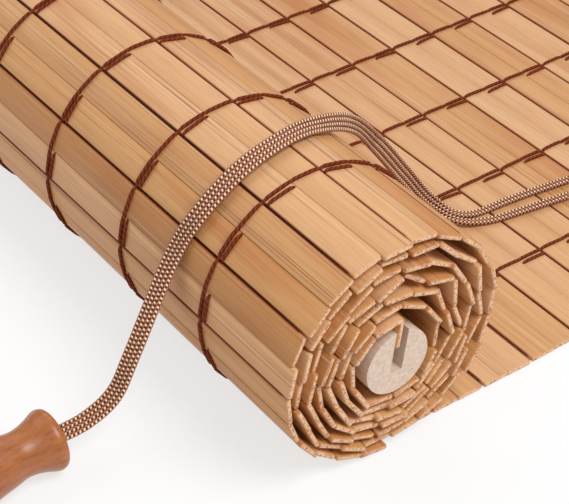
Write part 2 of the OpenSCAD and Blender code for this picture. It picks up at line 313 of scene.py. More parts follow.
# %% [markdown]
# ## 6. One grain for every material
#
# Bamboo fibres, the rings of a rod and the fine scratches of rolled steel are the same thing to a
# shader: noise that is stretched in one direction. We could paste noise nodes into every material, but a
# node group is built once and each material gives it its own scale, seed and detail. It reads Object
# coordinates, so that it stays on the piece when the piece moves.

# %% Grain group
grain = bpy.data.node_groups.new("grain", "ShaderNodeTree")
grain.interface.new_socket("Scale", in_out="INPUT", socket_type="NodeSocketVector")
grain.interface.new_socket("Seed", in_out="INPUT", socket_type="NodeSocketFloat")
grain.interface.new_socket("Detail", in_out="INPUT", socket_type="NodeSocketFloat")
grain.interface.new_socket("Value", in_out="OUTPUT", socket_type="NodeSocketFloat")
group_in = grain.nodes.new("NodeGroupInput")
group_out = grain.nodes.new("NodeGroupOutput")
where = grain.nodes.new("ShaderNodeTexCoord")
stretch = grain.nodes.new("ShaderNodeVectorMath")
stretch.operation = "MULTIPLY"
noise = node(grain, "ShaderNodeTexNoise", Scale=1.0, Roughness=0.6)
noise.noise_dimensions = "4D"
link(grain, where.outputs["Object"], stretch.inputs[0])
link(grain, group_in.outputs["Scale"], stretch.inputs[1])
link(grain, stretch.outputs[0], noise.inputs["Vector"])
link(grain, group_in.outputs["Seed"], noise.inputs["W"])
link(grain, group_in.outputs["Detail"], noise.inputs["Detail"])
link(grain, noise.outputs[0], group_out.inputs["Value"])


def add_grain(tree, scale, detail, seed=0.0):
    made = tree.nodes.new("ShaderNodeGroup")
    made.node_tree = grain
    made.inputs["Scale"].default_value = scale
    made.inputs["Detail"].default_value = detail
    put(tree, made.inputs["Seed"], seed)
    return made.outputs[0]


print("grain sockets:", [item.name for item in grain.interface.items_tree])

# %% [markdown]
# ## 7. Bamboo
#
# Split bamboo is honey to orange, smooth, with bundles of pale and dark fibres here and there, and its
# cut ends are paler and full of pores. A wood photograph would repeat from slat to slat. Instead each
# slat carries a number, its tone: it picks the slat's colour and is the seed of the grain, so that the
# fibres of two neighbours never run on. A second number, end, is 1 on the cut ends and brings out the
# pores there. A third, joint, is 1 along the open joints, whose edges are darkened: partly dust and the
# dye of the thread, and partly painted shade of the gap between the slats. A fourth, reach, is the
# distance from the nearer end, where this darkening fades out.


# %% The numbers of a slat and its grain
SLAT_NUMBERS = ("tone", "end", "joint", "reach")
TONE_SEED = 61.0
GROUP_SEED = 29.0
PALE_SEED = 17.0


def slat_number(tree, name):
    """A number that the slats carry, for use in a material."""
    made = tree.nodes.new("ShaderNodeAttribute")
    made.attribute_name = name
    return made.outputs["Fac"]


bamboo, tree, bsdf = new_material("bamboo", 0.5, 0.5)
tone, end, joint, reach = [slat_number(tree, name) for name in SLAT_NUMBERS]
seed = maths(tree, "MULTIPLY", tone, TONE_SEED)
patches = add_grain(tree, (9, 80, 80), 2, seed)
groups = add_grain(tree, (6, 260, 260), 1, maths(tree, "ADD", seed, GROUP_SEED))
fibres = add_grain(tree, (12, 2300, 2300), 2, seed)
pale_fibres = add_grain(tree, (11, 1700, 1700), 2, maths(tree, "ADD", seed, PALE_SEED))
pores = add_grain(tree, (60, 1700, 1700), 1)
print("numbers of a slat:", SLAT_NUMBERS)

# %% Colours along a slat
PATCH_SHARE = 0.7
FIBRE_SHARE = 0.75
FEWEST_FIBRES = 0.12
PALE_SHARE = 0.6
coloured = ramp(tree, tone, [
    (0.0, srgb(198, 136, 77)), (0.35, srgb(210, 154, 96)),
    (0.7, srgb(219, 168, 119)), (1.0, srgb(226, 182, 138))])
shade = ramp(tree, patches, [(0.3, srgb(222, 176, 122)), (0.5, WHITE), (0.7, (1, 0.985, 0.96))])
coloured = mix_colour(tree, "MULTIPLY", PATCH_SHARE, coloured, shade)
bundled = maths(tree, "MAXIMUM", between(tree, groups, -0.5, 1.0), FEWEST_FIBRES)
shade = ramp(tree, fibres, [(0.36, srgb(170, 118, 76)), (0.5, WHITE)])
share = maths(tree, "MULTIPLY", bundled, FIBRE_SHARE)
coloured = mix_colour(tree, "MULTIPLY", share, coloured, shade)
pale = maths(tree, "MAXIMUM", between(tree, pale_fibres, -1.0, 1.0), 0.0)
share = maths(tree, "MULTIPLY", maths(tree, "MULTIPLY", pale, bundled), PALE_SHARE)
coloured = mix_colour(tree, "MIX", share, coloured, srgb(243, 213, 172))
print("colour nodes so far:", len(tree.nodes))

# %% Colours of its ends and joints
END_SHARE = 0.7
PORE_SHARE = 0.7
PORES_ALONG = 0.1
STAIN_AND_SHADE_SHARE = 0.85
UNDARKENED_END = 1.5 * MM
share = maths(tree, "MULTIPLY", end, END_SHARE)
coloured = mix_colour(tree, "MIX", share, coloured, srgb(244, 204, 166))
shade = ramp(tree, pores, [(0.38, srgb(172, 98, 54)), (0.5, WHITE)])
share = maths(tree, "ADD", maths(tree, "MULTIPLY", end, PORE_SHARE), PORES_ALONG)
coloured = mix_colour(tree, "MULTIPLY", share, coloured, shade)
# The open joints' edges are darkened, partly stain from dust and thread dye and partly painted shade of
# the gap between the slats; the darkening fades out near the slat's ends.
from_end = maths(tree, "DIVIDE", maths(tree, "SUBTRACT", reach, UNDARKENED_END), UNDARKENED_END)
from_end = maths(tree, "MINIMUM", maths(tree, "MAXIMUM", from_end, 0.0), STAIN_AND_SHADE_SHARE)
share = maths(tree, "MULTIPLY", joint, from_end)
coloured = mix_colour(tree, "MULTIPLY", share, coloured, srgb(168, 82, 28))
link(tree, coloured, bsdf.inputs["Base Color"])
link(tree, between(tree, fibres, 0.6, 0.42), bsdf.inputs["Roughness"])
bump(tree, bsdf, fibres, 0.3, 0.4 * MM)
print("bamboo nodes:", len(tree.nodes))

# %% [markdown]
# ## 8. Thread
#
# The mat is sewn with dark brown twisted cotton. The twist could be modelled as two strands wound round
# each other, but at half a millimetre nobody would see the difference. It is a slanted stripe in the
# tube's UVs instead, and the same stripe drives a bump.


# %% Thread
def uv_parts(tree):
    """Distance along the tube, and part of a turn round it."""
    where = tree.nodes.new("ShaderNodeUVMap")
    parts = tree.nodes.new("ShaderNodeSeparateXYZ")
    link(tree, where.outputs[0], parts.inputs[0])
    return parts.outputs[0], parts.outputs[1]


TWIST_LEN = 1.7 * MM
PLIES = 2.0
thread, tree, bsdf = new_material("thread", 0.85, 0.2)
along, around = uv_parts(tree)
slant = maths(tree, "DIVIDE", along, TWIST_LEN)
slant = maths(tree, "ADD", slant, maths(tree, "MULTIPLY", around, PLIES))
wave = maths(tree, "SINE", maths(tree, "MULTIPLY", slant, 2 * math.pi))
twist = maths(tree, "MULTIPLY_ADD", wave, 0.5)
coloured = ramp(tree, twist, [
    (0.0, srgb(96, 34, 10)), (0.5, srgb(118, 48, 20)), (1.0, srgb(134, 62, 30))])
link(tree, coloured, bsdf.inputs["Base Color"])
bump(tree, bsdf, twist, 0.35, 0.3 * MM)
print("thread twist in mm:", TWIST_LEN / MM)

# %% [markdown]
# ## 9. Braided cord
#
# Each strand of the pull cord is a fine braid of a light and a brown yarn, which shows as rows of light
# beads on brown. Weaving the yarns as geometry would take a million faces. A wave along the strand times
# a wave round it gives beads in alternate rows, and the flanks, where one strand lies against the next,
# are painted darker, as painted shade between the strands.

# %% Braided cord
BEAD_LEN = 1.25 * MM
BEADS_ROUND = 2
FLANK_SHADE_POWER = 4.0
FLANK_SHADE_SHARE = 0.7
cord_look, tree, bsdf = new_material("cord", 0.6, 0.35)
along, around = uv_parts(tree)
slant = maths(tree, "ADD", maths(tree, "DIVIDE", along, BEAD_LEN), around)
rows = maths(tree, "SINE", maths(tree, "MULTIPLY", slant, 2 * math.pi))
columns = maths(tree, "COSINE", maths(tree, "MULTIPLY", around, BEADS_ROUND * 2 * math.pi))
braid = maths(tree, "MULTIPLY_ADD", maths(tree, "MULTIPLY", rows, columns), 0.5)
beads = ramp(tree, braid, [
    (0.15, srgb(92, 34, 14)), (0.5, srgb(182, 100, 58)), (0.78, srgb(255, 234, 200))])
# Painted shade: the flanks, where a strand faces its neighbours, are darkened in the colour.
flank_shade = maths(tree, "ABSOLUTE", maths(tree, "COSINE", maths(tree, "MULTIPLY", around, 2 * math.pi)))
flank_shade = maths(tree, "MULTIPLY", maths(tree, "POWER", flank_shade, FLANK_SHADE_POWER), FLANK_SHADE_SHARE)
coloured = mix_colour(tree, "MULTIPLY", flank_shade, beads, srgb(140, 74, 44))
link(tree, coloured, bsdf.inputs["Base Color"])
bump(tree, bsdf, braid, 0.7, 0.4 * MM)
print("bead length in mm:", BEAD_LEN / MM)

# %% [markdown]
# ## 10. Rod, rail and pull woods
#
# The bottom rod is raw pale wood, the head rail is oiled, and the pull is stained and varnished. They
# could be three materials made one by one, but they differ only in colour, grain and gloss, so one
# function makes all three. The pull has dark streaks as well. Its varnish is the Coat of the Principled
# BSDF, which lies over the grain as a clear layer does.


# %% Woods
STREAK_SHARE = 0.4
STREAK_SEED = 5.0
VARNISH_ROUGHNESS = 0.25


def plain_wood(name, light, dark, scale, gloss, coat=0.0, streak=None):
    """A wood whose roughness follows its grain; gloss is its lowest and highest roughness."""
    material, tree, bsdf = new_material(name, gloss[1])
    lines = add_grain(tree, scale, 4)
    coloured = ramp(tree, lines, [(0.3, dark), (0.65, light)])
    if streak:
        scale, shade = streak
        streaks = ramp(tree, add_grain(tree, scale, 3, STREAK_SEED), [(0.36, shade), (0.52, WHITE)])
        coloured = mix_colour(tree, "MULTIPLY", STREAK_SHARE, coloured, streaks)
    link(tree, coloured, bsdf.inputs["Base Color"])
    link(tree, between(tree, lines, gloss[1], gloss[0]), bsdf.inputs["Roughness"])
    bsdf.inputs["Coat Weight"].default_value = coat
    bsdf.inputs["Coat Roughness"].default_value = VARNISH_ROUGHNESS
    bump(tree, bsdf, lines, 0.2, 0.3 * MM)
    return material


rod_wood = plain_wood(
    "rod_wood", srgb(228, 207, 189), srgb(205, 180, 158), (30, 860, 860), (0.7, 0.85))
rail_wood = plain_wood(
    "rail_wood", srgb(196, 142, 92), srgb(160, 104, 60), (8, 300, 300), (0.4, 0.6))
pull_wood = plain_wood(
    "pull_wood", srgb(184, 112, 60), srgb(150, 84, 42), (130, 30, 130), (0.34, 0.5), coat=0.3,
    streak=((1500, 130, 1500), srgb(190, 140, 108)))
print("woods:", rod_wood.name, rail_wood.name, pull_wood.name)

# %% [markdown]
# ## 11. Metal and plastic
#
# The hangers and the guide are bent from rolled steel, the batten screws are brass, and the roller is
# moulded plastic. Rolled steel has fine lines along the strip, used brass is cloudy, and a mould leaves
# a faint even grain. Each could have its own nodes, but all three are the grain group again, in grey,
# yellow and cream.


# %% Metal and plastic
def fitting_look(name, light, dark, scale, gloss, metallic, relief):
    """A fitting's surface, whose colour, gloss and relief follow one grain."""
    material, tree, bsdf = new_material(name, gloss[1])
    marks = add_grain(tree, scale, 3)
    link(tree, ramp(tree, marks, [(0.3, dark), (0.7, light)]), bsdf.inputs["Base Color"])
    link(tree, between(tree, marks, gloss[0], gloss[1]), bsdf.inputs["Roughness"])
    bsdf.inputs["Metallic"].default_value = metallic
    bump(tree, bsdf, marks, relief, 0.1 * MM)
    return material


steel = fitting_look(
    "steel", srgb(196, 196, 194), srgb(164, 164, 162), (2600, 40, 2600), (0.28, 0.46), 1.0, 0.15)
brass = fitting_look(
    "brass", srgb(204, 178, 124), srgb(176, 146, 92), (700, 700, 700), (0.3, 0.5), 1.0, 0.1)
plastic = fitting_look(
    "plastic", srgb(240, 236, 226), srgb(226, 220, 206), (900, 900, 900), (0.38, 0.52), 0.0, 0.2)
print("materials:", len(bpy.data.materials))

# %% [markdown]
# ## 12. Where the slats lie
#
# The mat is a chain of joints, one between each two slats, seen here from its end in the YZ plane. The
# flat part is a row that climbs a little to the head rail. The rolled part is a spiral: each step turns
# by the angle whose chord is one slat wide. A Screw modifier would give a perfect spiral, but the real
# roll is loose, so its outer turn stands off behind and its middle has sunk.


# %% The flat chain and the spiral
JOINT_GAP = 0.15 * MM
CHORD_EASE = PITCH / MM / 800
OUTER_TURN = math.radians(350)


def mat_z(y):
    """The height of the mat's middle at y: flat on the table, then a ramp up to the head rail."""
    if y <= RAMP_Y0:
        return HALF
    if y >= RAIL_Y0:
        return HALF + STRIP_T
    return HALF + STRIP_T * (1 - math.cos(math.pi * (y - RAMP_Y0) / (RAIL_Y0 - RAMP_Y0))) / 2


def spiral_r(a):
    """The mat's distance from the roll's axis at angle a, which starts below it and goes up in front."""
    stands_off = -SLACK * math.sin(a) if math.pi < a < 2 * math.pi else 0
    return ROLL_R - HALF - TURN_GAP * a / (2 * math.pi) + stands_off


def spiral_point(a, outward=0.0):
    """The place of a joint at angle a, moved outward if asked."""
    share = a / (TURNS * 2 * math.pi)
    r = spiral_r(a) + outward
    return Vector((0, ROLL_Y + LEAN * share - r * math.sin(a), ROLL_R - SINK * share - r * math.cos(a)))


flat_ys = [ROLL_Y + JOINT_GAP + i * PITCH for i in range(FLAT_COUNT + 1)]
flat_points = [Vector((0, y, mat_z(y))) for y in flat_ys]
angles = [0.0]
for i in range(ROLL_COUNT):
    # The spiral narrows along a slat, so its chord is measured a little inside its first joint.
    chord_r = spiral_r(angles[-1]) - TURN_GAP * CHORD_EASE
    angles.append(angles[-1] + 2 * math.asin(PITCH / 2 / chord_r))
roll_points = [spiral_point(a) for a in angles]
outer_count = len([a for a in angles if a < OUTER_TURN])
print("slats:", FLAT_COUNT, "flat,", ROLL_COUNT + 1, "rolled; outer turn:", outer_count)

# %% [markdown]
# ## 13. How the loose turns zigzag
#
# Behind the top of the roll the inner turns have room, and the mat folds there at every joint like a
# paper fan. Random tilts alone would pull the slats apart or push them through each other. So the joints
# themselves move outward and inward along a wave that is two slats long. It starts at the same place in
# every turn, so that the folds of neighbouring turns nest.

# %% Loose joints
LOOSE_AT = math.radians(232)
LOOSE_FROM, LOOSE_TO = 1.3, 5.3
ZIGZAG = 1.8 * MM
FOLD_SHARPNESS = 1.7
FILL = 1.4 * MM


def room_at(i):
    """The room at joint i, from 0 to 1, and its angle from the loosest place."""
    away = (angles[i] - LOOSE_AT + math.pi) % (2 * math.pi) - math.pi
    return max(0.0, math.cos(away)), away


def stirred(i):
    """How far joint i has moved outward."""
    turn = angles[i] / (2 * math.pi)
    if not LOOSE_FROM < turn < LOOSE_TO:
        return 0.0
    room, away = room_at(i)
    slats_away = away * spiral_r(angles[i]) / PITCH
    fold = max(-1.0, min(1.0, FOLD_SHARPNESS * math.cos(math.pi * slats_away)))
    return room * (FILL * (LOOSE_TO - turn) / (LOOSE_TO - LOOSE_FROM) + ZIGZAG * fold)


slat_points = [spiral_point(a, stirred(i)) for i, a in enumerate(angles)]
rod_core = Vector((0, ROLL_Y + LEAN, ROLL_R - SINK - ROD_DROP))
tail_top = slat_points[-1]
tail_end = tail_top + PITCH * (rod_core - tail_top).normalized()
print("joints moved:", len([i for i in range(len(angles)) if stirred(i)]))

# %% [markdown]
# ## 14. One slat
#
# A slat is a thin strip of bamboo with softened edges. It starts as a cube from
# `bmesh.ops.create_cube`, stretched by a matrix to its length, width and thickness. Its long edges are
# cut so that it can bow a little. A Bevel modifier would round all edges alike, so `bmesh.ops.bevel` is
# run twice: wide on the open edges, narrow where the slat touches its neighbour.

# %% Slat sizes
OPEN = 0.27 * MM
TIGHT = 0.01 * MM
ROUND = 0.42 * MM
TIGHT_ROUND = 0.1 * MM
END_SKIN = 0.05 * MM
# The width of the joint darkening, which is partly stain and partly painted shade.
STAIN_AND_SHADE_BAND = 0.28 * MM
BOW_WAVES = 1.3
BOW_CUTS = 7
STAND_SHIFT = 71


def stand_back(i, side, most, wave):
    """How far a slat end stands back from the full width."""
    return most * (1 + math.sin(math.radians(i * wave + side * STAND_SHIFT))) / 2


print("open joint in mm:", 2 * OPEN / MM, "tight joint in mm:", 2 * TIGHT / MM)


# %% Cut one block
def cut_to_width(p, q):
    """The joints p and q, moved together where a fold has pulled them further apart than one slat."""
    spare = (q - p) * max(0.0, 1 - PITCH / (q - p).length) / 2
    return p + spare, q - spare


def slat_block(p, q, low, high, tilt):
    """A cut block from joint p to joint q, with its middle, its way across and its normal."""
    way = (q - p).normalized()
    middle = (p + q) / 2 + Vector(((low + high) / 2, 0, 0))
    way.rotate(Matrix.Rotation(tilt, 3, "X"))
    normal = Vector((1, 0, 0)).cross(way)
    wide = (q - p).length
    bm = bmesh.new()
    bmesh.ops.create_cube(bm, size=1, matrix=Matrix((
        (high - low, 0, 0, middle.x),
        (0, way.y * wide, normal.y * SLAT_T, middle.y),
        (0, way.z * wide, normal.z * SLAT_T, middle.z),
        (0, 0, 0, 1),
    )))
    long_edges = [e for e in bm.edges if abs(e.verts[0].co.x - e.verts[1].co.x) > WIDTH / 2]
    bmesh.ops.subdivide_edges(bm, edges=long_edges, cuts=BOW_CUTS, use_grid_fill=True)
    return bm, middle, way, normal


print("cuts along a slat:", BOW_CUTS)

# %% Round its edges
SQUARE_EDGE = 1.0
LENGTHWISE = 0.9


def square_edges(bm):
    """The edges whose two faces still meet at more than SQUARE_EDGE radians."""
    return [e for e in bm.edges if len(e.link_faces) == 2 and e.calc_face_angle() > SQUARE_EDGE]


def round_edges(bm, middle, way, tight_sides):
    """Rounds the open edges of a slat widely and its tight ones narrowly."""
    def is_tight(e):
        line = e.verts[1].co - e.verts[0].co
        side = (e.verts[0].co - middle).dot(way)
        return abs(line.x) > LENGTHWISE * line.length and any(side * t > 0 for t in tight_sides)

    wide = [e for e in square_edges(bm) if not is_tight(e)]
    bmesh.ops.bevel(bm, geom=wide, offset=ROUND, segments=2, profile=0.5, affect="EDGES", material=-1)
    bmesh.ops.bevel(bm, geom=square_edges(bm), offset=TIGHT_ROUND, segments=1, profile=0.5,
                    affect="EDGES", material=-1)


print("edge rounding in mm:", ROUND / MM, "and", TIGHT_ROUND / MM)


# %% Add a slat to the mat
def add_slat(whole, p, q, i, gap_p, gap_q, bow, most, wave, tone_value, shift=0.0, tilt=0.0):
    """Adds one slat between the joints p and q; gap_p and gap_q keep it off its neighbours."""
    way = (q - p).normalized()
    low = -WIDTH / 2 + stand_back(i, 0, most, wave) + shift
    high = WIDTH / 2 - stand_back(i, 1, most, wave) + shift
    bm, middle, way, normal = slat_block(p + way * gap_p, q - way * gap_q, low, high, tilt)
    phase = random.uniform(0, 2 * math.pi)
    for v in bm.verts:
        v.co += normal * bow * math.sin(phase + v.co.x / WIDTH * 2 * math.pi * BOW_WAVES)
    round_edges(bm, middle, way, [side for side, gap in ((-1, gap_p), (1, gap_q)) if gap == TIGHT])
    layers = [bm.verts.layers.float.new(name) for name in SLAT_NUMBERS]
    half_wide = ((q - p).length - gap_p - gap_q) / 2
    for v in bm.verts:
        across = (v.co - middle).dot(way)
        is_open = (gap_p if across < 0 else gap_q) != TIGHT
        reach_in = min(v.co.x - low, high - v.co.x)
        # The edges at open joints carry the joint darkening, partly stain and partly painted shade.
        stained_and_shaded = min(1.0, max(0.0, 1 + (abs(across) - half_wide) / STAIN_AND_SHADE_BAND))
        is_end = reach_in < END_SKIN
        values = (tone_value, 1.0 if is_end else 0.0, stained_and_shaded if is_open else 0.0, reach_in)
        for layer, value in zip(layers, values):
            v[layer] = value
    for f in bm.faces:
        f.smooth = True
    part = bpy.data.meshes.new("slat")
    bm.to_mesh(part)
    bm.free()
    whole.from_mesh(part)
    bpy.data.meshes.remove(part)


def joint_gaps(i, open_gaps):
    """The gaps at the two joints of slat i; every other joint is an open one."""
    return tuple(TIGHT if j % 2 else open_gaps[j] for j in (i, i + 1))


def new_mat():
    """An empty bmesh with the four numbers that every slat carries."""
    bm = bmesh.new()
    for name in SLAT_NUMBERS:
        bm.verts.layers.float.new(name)
    return bm


print("helpers: add_slat, joint_gaps, new_mat")

# %% [markdown]
# ## 15. The mat and the roll
#
# On the real mat two slats lie tight together, then comes an open joint. Slats of a pair were split from
# one cane, so in the flat part a pair shares its tone. The ends stand back by different amounts, in a
# slow wave on the flat part and unevenly in the roll. Inside the roll a slat mostly leans the other way
# than the one before it. An Array modifier would make all slats alike, so a loop adds them one by one.

# %% Flat slats
FLAT_STAGGER = 0.9 * MM
FLAT_WAVE = 41
FLAT_BOW = 0.1 * MM
FLAT_TONES = (0.45, 1)
FLAT_OPENS = (1.0, 1.6)
SEED = 7
random.seed(SEED)
flat_tones = [random.uniform(*FLAT_TONES) for _ in range(FLAT_COUNT // 2)]
flat_gaps = [OPEN * random.uniform(*FLAT_OPENS) for _ in range(FLAT_COUNT + 1)]
flat_bm = new_mat()
for i in range(FLAT_COUNT):
    add_slat(flat_bm, flat_points[i], flat_points[i + 1], i, *joint_gaps(i, flat_gaps), FLAT_BOW,
             FLAT_STAGGER, FLAT_WAVE, flat_tones[i // 2])
flat_slats = to_object(flat_bm, "bamboo_flat", bamboo)
dress(flat_slats, "flat_slats")
print("flat slat faces:", len(flat_slats.data.polygons))

# %% Rolled slats
ROLL_STAGGER = 1.4 * MM
ROLL_WAVE = 137
ROLL_BOW = 0.12 * MM
TILT = math.radians(8.5)
LOOSE_TILT = math.radians(4.5)
OUTER_TILT = math.radians(1.2)
TILT_WAVE = 163
# The rolled slats take tones from a darker, more orange range than the flat ones: painted shade, darker
# and warmer, for the roll's shaded front. Within the range the tone differs at random.
ROLL_TONES_WITH_PAINTED_SHADE = (0, 0.8)
ROLL_OPENS = (0.5, 1.1)
TAIL_TONE = 0.3
roll_tones = [random.uniform(*ROLL_TONES_WITH_PAINTED_SHADE) for _ in range(ROLL_COUNT)]
roll_gaps = [OPEN * random.uniform(*ROLL_OPENS) for _ in range(ROLL_COUNT + 1)]
roll_bm = new_mat()
for i in range(ROLL_COUNT):
    near, far = joint_gaps(i, roll_gaps)
    most = OUTER_TILT if i < outer_count else TILT + (LOOSE_TILT - TILT) * room_at(i)[0]
    tilt = most * math.sin(math.radians(i * TILT_WAVE))
    add_slat(roll_bm, *cut_to_width(slat_points[i + 1], slat_points[i]), i + 1, far, near, ROLL_BOW,
             ROLL_STAGGER, ROLL_WAVE, roll_tones[i], CREEP, tilt)
add_slat(roll_bm, tail_end, tail_top, 2, TIGHT, TIGHT, 0.0, ROLL_STAGGER, ROLL_WAVE, TAIL_TONE, CREEP)
rolled_slats = to_object(roll_bm, "bamboo_rolled", bamboo)
dress(rolled_slats, "rolled_slats")
print("rolled slat faces:", len(rolled_slats.data.polygons))

# %% [markdown]
# ## 16. The stitching
#
# Eleven lines of thread hold the slats. A thread lies on each slat and dips into each joint, deeper into
# an open one. Beside it, on every other slat, lies a second short thread whose ends dive into the
# joints. A texture could draw this, but the thread casts a shadow and breaks the outline of the roll, so
# it is a tube along a smooth path, with a little sway so that no two stitches are the same.


# %% Thread paths
STITCH_STEP = 38 * MM
STITCH_MARGIN = 35 * MM
STITCH_LINES = 11
DOUBLE_STEP = 1.9 * MM
THREAD_R = 0.54 * MM
LIE = 0.42 * MM
CROWN = LIE + 0.05 * MM
OPEN_DIP = -0.35 * MM
TIGHT_DIP = 0.15 * MM
DIVE = -0.5 * MM
SWAY = 0.2 * MM
DOUBLE_SWAY = 0.25 * MM
DOUBLE_SLANT = 0.3 * MM
stitch_xs = [-WIDTH / 2 + STITCH_MARGIN + k * STITCH_STEP for k in range(STITCH_LINES)]


def over(p, q, part, height, x):
    """A point over the slat from p to q, on the side away from the table or from the roll's middle."""
    normal = Vector((1, 0, 0)).cross((q - p).normalized())
    return p + (q - p) * part + normal * (HALF + height) + Vector((x, 0, 0))


def long_stitch(p, q, opens, x):
    """The run of the continuous thread over one slat."""
    sway = random.uniform(-SWAY, SWAY)
    dip = OPEN_DIP if opens else TIGHT_DIP
    return [over(p, q, 0.0, dip, x + sway), over(p, q, 0.16, LIE, x + sway),
            over(p, q, 0.5, CROWN, x + sway / 2), over(p, q, 0.84, LIE, x)]


def short_stitch(p, q, x):
    """The short thread beside it, from joint to joint."""
    x += DOUBLE_STEP + random.uniform(-DOUBLE_SWAY, DOUBLE_SWAY)
    slant = random.uniform(-DOUBLE_SLANT, DOUBLE_SLANT)
    return [over(p, q, 0.03, DIVE, x - slant), over(p, q, 0.14, LIE, x - slant),
            over(p, q, 0.5, CROWN, x),
            over(p, q, 0.86, LIE, x + slant), over(p, q, 0.97, DIVE, x + slant)]


print("stitch lines:", len(stitch_xs))


# %% Sew the mat and the roll
THREAD_SIDES = 8
LONG_STEPS = 2
SHORT_STEPS = 3
DOUBLE_R = THREAD_R * 0.95


def sew(pairs, first_doubled, last_doubled, name):
    """Sews all lines over the given slats, with doubles on every other slat."""
    one, two = bmesh.new(), bmesh.new()
    for x in stitch_xs:
        route = []
        for p, q, i in pairs:
            route += long_stitch(p, q, i % 2 == 0, x)
            if i % 2 == first_doubled and i < last_doubled:
                add_tube(two, smooth(short_stitch(p, q, x), SHORT_STEPS), DOUBLE_R, THREAD_SIDES)
        add_tube(one, smooth(route, LONG_STEPS), THREAD_R, THREAD_SIDES)
    for bm, cad_name in ((one, f"{name}_stitches"), (two, f"{name}_double_stitches")):
        obj = to_object(bm, cad_name + "_thread", thread)
        dress(obj, cad_name)
        print(cad_name, len(obj.data.polygons), "faces")


bare_slats = FLAT_COUNT - RAIL_SLATS
flat_pairs = [(flat_points[i], flat_points[i + 1], i) for i in range(1, bare_slats - 1)]
roll_pairs = [(roll_points[i], roll_points[i + 1], i) for i in range(2, outer_count - 1)]
sew(flat_pairs, 1, bare_slats - RAMP_SLATS, "flat")
sew(roll_pairs, 0, outer_count, "roll")

# %% [markdown]
# ## 17. The cord
#
# Four strands lie side by side. The route is the CAD one: out of the pull, up the front of the roll,
# over its top, down to the mat, along it to the guide on the head rail and into a slot behind the guide.
# A simulation would drape a cord too, but hardly over the places where the photograph shows it. So the
# route is given from the visible end of the roll, as x, y, z, the spread of the two pairs and the turn
# of the bundle on edge, in millimetres and degrees.

# %% Cord route
CORD_R = 0.64 * MM
STRAND_STEP = 1.55 * MM
THREAD_H = 0.6 * MM
FLANGE_R = 8.6 * MM
GUIDE_T = 1.2 * MM
CLEAR = 0.1 * MM
DRAPE_GAP = 1.2 * MM
SLOT_BACK = 6.6 * MM
OVER_MAT = (SLAT_T + THREAD_H + CORD_R + CLEAR) / MM
RAIL_FRONT = (-ROLL_Y - BATTEN_W / 2) / MM
BATTEN_TOP = (STRIP_T + SLAT_T + BATTEN_T) / MM
IN_GUIDE = BATTEN_TOP + (GUIDE_T + CORD_R + CLEAR) / MM
SLOT_AT = (SLOT_BACK - ROLL_Y) / MM
PULL_Z = FLANGE_R / MM


def draped(x, degrees, turn=0):
    """A stop on the roll, at an angle over its axis."""
    at = spiral_point(math.radians(270 - degrees)) / MM
    a = math.radians(degrees)
    off = (HALF + CORD_R + DRAPE_GAP) / MM
    return x, at.y - ROLL_Y / MM + off * math.cos(a), at.z + off * math.sin(a), 0, turn


cord_route = [
    (-44.6, -82, PULL_Z, 0, 0), (-44.9, -73, PULL_Z, 0, 0), (-44.2, -64, 10, 0, 0),
    (-43.2, -56, 15.5, 0, 0), (-44, -49.5, 25.5, 0, 0), draped(-48.5, 160), draped(-46.8, 137),
    draped(-46.9, 112), draped(-48.8, 88), draped(-52, 66, 12), (-57.5, 32, 58, 0, 40),
    (-65, 48.5, 40, 0, 70), (-68.2, 63, 21, 0, 75), (-66, 73, 7.5, 0, 55),
    (-58, 82, OVER_MAT, 0.6, 0), (-54, 105, OVER_MAT, 1.8, 0), (-45, 180, OVER_MAT, 2, 0),
    (-45, RAIL_FRONT - 22, OVER_MAT + STRIP_T / MM, 0.4, 0), (-45, RAIL_FRONT - 1, IN_GUIDE, 0, 0),
    (-45, SLOT_AT + 0.3, IN_GUIDE, 0, 0), (-45, SLOT_AT + 2.2, BATTEN_TOP - 5, 0, 0),
]
print("stops on the route:", len(cord_route))

# %% Four strands
INWARD = Vector((0, -0.8, -0.6))
STRANDS = 4
CORD_STEPS = 10
CORD_SIDES = 14
middles = [Vector(stop[:3]) for stop in cord_route]
lanes = []
for i, stop in enumerate(cord_route):
    way = (middles[min(i + 1, len(middles) - 1)] - middles[max(i - 1, 0)]).normalized()
    turn = math.radians(stop[4])
    across = math.cos(turn) * Vector((1, 0, 0)) + math.sin(turn) * INWARD
    lanes.append((across - across.dot(way) * way).normalized())
for k in range(1, STRANDS + 1):
    lane = (k - (STRANDS + 1) / 2) * STRAND_STEP
    points = []
    for (x, y, z, spread, _), across in zip(reversed(cord_route), reversed(lanes)):
        apart = spread if lane > 0 else -spread
        middle = Vector((WIDTH / 2 + (x + apart) * MM, ROLL_Y + y * MM, z * MM))
        points.append(middle + lane * across)
    line = smooth(points, CORD_STEPS)
    bm = bmesh.new()
    add_tube(bm, line, CORD_R, CORD_SIDES)
    obj = to_object(bm, f"braid_{k}", cord_look)
    dress(obj, f"strand_{k}")
    print(obj.name, "length in mm:", round(length_of(line) / MM, 1))

# %% [markdown]
# ## 18. The pull
#
# The pull is turned on a lathe and drilled through for the cord. Blender's lathe is `bmesh.ops.spin`,
# which sweeps a profile round an axis; a Screw modifier does the same, but its result would have to be
# applied. The profile is a closed line from the bore round the outside, and `use_merge` joins the last
# copy to the first. The finished shape is then laid on the table.

